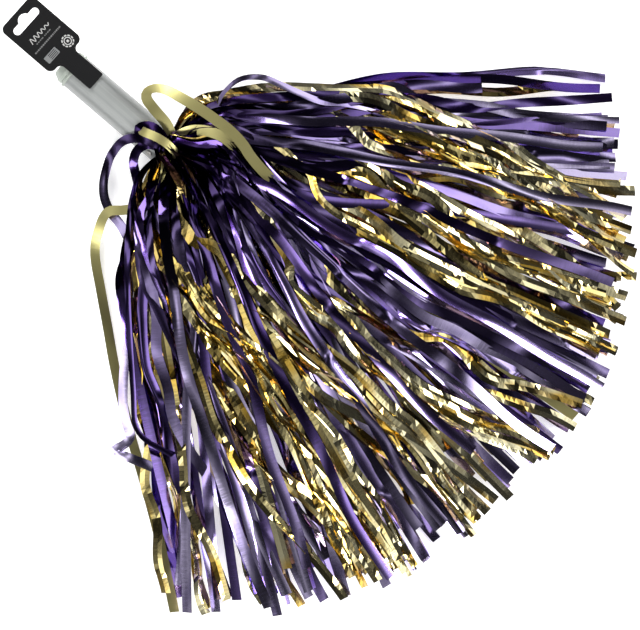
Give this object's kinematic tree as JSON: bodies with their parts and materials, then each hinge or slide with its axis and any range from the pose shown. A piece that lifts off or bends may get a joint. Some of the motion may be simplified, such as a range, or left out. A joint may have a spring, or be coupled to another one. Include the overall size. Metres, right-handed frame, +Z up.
{
  "type": "cheer pom pom",
  "caption": "Cheerleading pom pom: metallic film streamers in two colours gathered in the mouth of a clear baton handle, with a hang tag, lying on its side with the streamers fanned out.",
  "frame": {"origin": "on the surface the pom pom lies on, under the centre of its bounding box", "axes": "+X along the handle from the end cap towards the streamers, +Y across the fan, +Z up from the surface it lies on"},
  "size_m": [0.6217, 0.6132, 0.0643],
  "materials": {
    "tube": "milky translucent",
    "cap": "milky translucent, faintly green",
    "core": "natural moulded plastic",
    "film_purple": "metallized film",
    "film_gold": "metallized film",
    "rivet": "grey moulded plastic",
    "card": null,
    "adhesive": "clear adhesive foam",
    "foil": "plain foil sticker"
  },
  "bodies": {
    "handle": {"handle_tube": "tube", "end_cap": "cap", "core_plug": "core", "header_roll_gold": "film_gold", "header_roll_purple": "film_purple", "retaining_rivet": "rivet", "gathered_streamers": "film_purple", "tag_tail": "card", "tag_adhesive_pad": "adhesive"},
    "tag": {"tag_plate": "card", "tag_foil_label": "foil"},
    "streamers_1": {"streamer_layer_1_purple": "film_purple"},
    "streamers_2": {"streamer_layer_2_gold": "film_gold"},
    "streamers_3": {"streamer_layer_3_purple": "film_purple"},
    "streamers_4": {"streamer_layer_4_gold": "film_gold"},
    "streamers_5": {"streamer_layer_5_purple": "film_purple"},
    "streamers_6": {"streamer_layer_6_gold": "film_gold", "loop_streamer_gold": "film_gold", "curl_streamer_gold": "film_gold"},
    "streamers_7": {"streamer_layer_7_purple": "film_purple", "loop_streamer_purple": "film_purple"}
  },
  "joints": [
    {"name": "tag_flex", "type": "hinge", "parent": "handle", "child": "tag", "pos_m": [-0.24215, 0.01049, 0.03379], "axis": [0, 0.9511, -0.309], "range_deg": [-20, 40], "stiffness_Nm_per_rad": 0.01},
    {"name": "streamers_1_swing", "type": "hinge", "parent": "handle", "child": "streamers_1", "pos_m": [-0.12865, 0.00507, 0.0171], "axis": [0, 0, 1], "range_deg": [-10, 10], "stiffness_Nm_per_rad": 0.02},
    {"name": "streamers_2_swing", "type": "hinge", "parent": "handle", "child": "streamers_2", "pos_m": [-0.12865, 0.00507, 0.0171], "axis": [0, 0, 1], "range_deg": [-10, 10], "stiffness_Nm_per_rad": 0.02},
    {"name": "streamers_3_swing", "type": "hinge", "parent": "handle", "child": "streamers_3", "pos_m": [-0.12865, 0.00507, 0.0171], "axis": [0, 0, 1], "range_deg": [-10, 10], "stiffness_Nm_per_rad": 0.02},
    {"name": "streamers_4_swing", "type": "hinge", "parent": "handle", "child": "streamers_4", "pos_m": [-0.12865, 0.00507, 0.0171], "axis": [0, 0, 1], "range_deg": [-10, 10], "stiffness_Nm_per_rad": 0.02},
    {"name": "streamers_5_swing", "type": "hinge", "parent": "handle", "child": "streamers_5", "pos_m": [-0.12865, 0.00507, 0.0171], "axis": [0, 0, 1], "range_deg": [-10, 10], "stiffness_Nm_per_rad": 0.02},
    {"name": "streamers_6_swing", "type": "hinge", "parent": "handle", "child": "streamers_6", "pos_m": [-0.12865, 0.00507, 0.0171], "axis": [0, 0, 1], "range_deg": [-10, 10], "stiffness_Nm_per_rad": 0.02},
    {"name": "streamers_7_swing", "type": "hinge", "parent": "handle", "child": "streamers_7", "pos_m": [-0.12865, 0.00507, 0.0171], "axis": [0, 0, 1], "range_deg": [-10, 10], "stiffness_Nm_per_rad": 0.02}
  ]
}
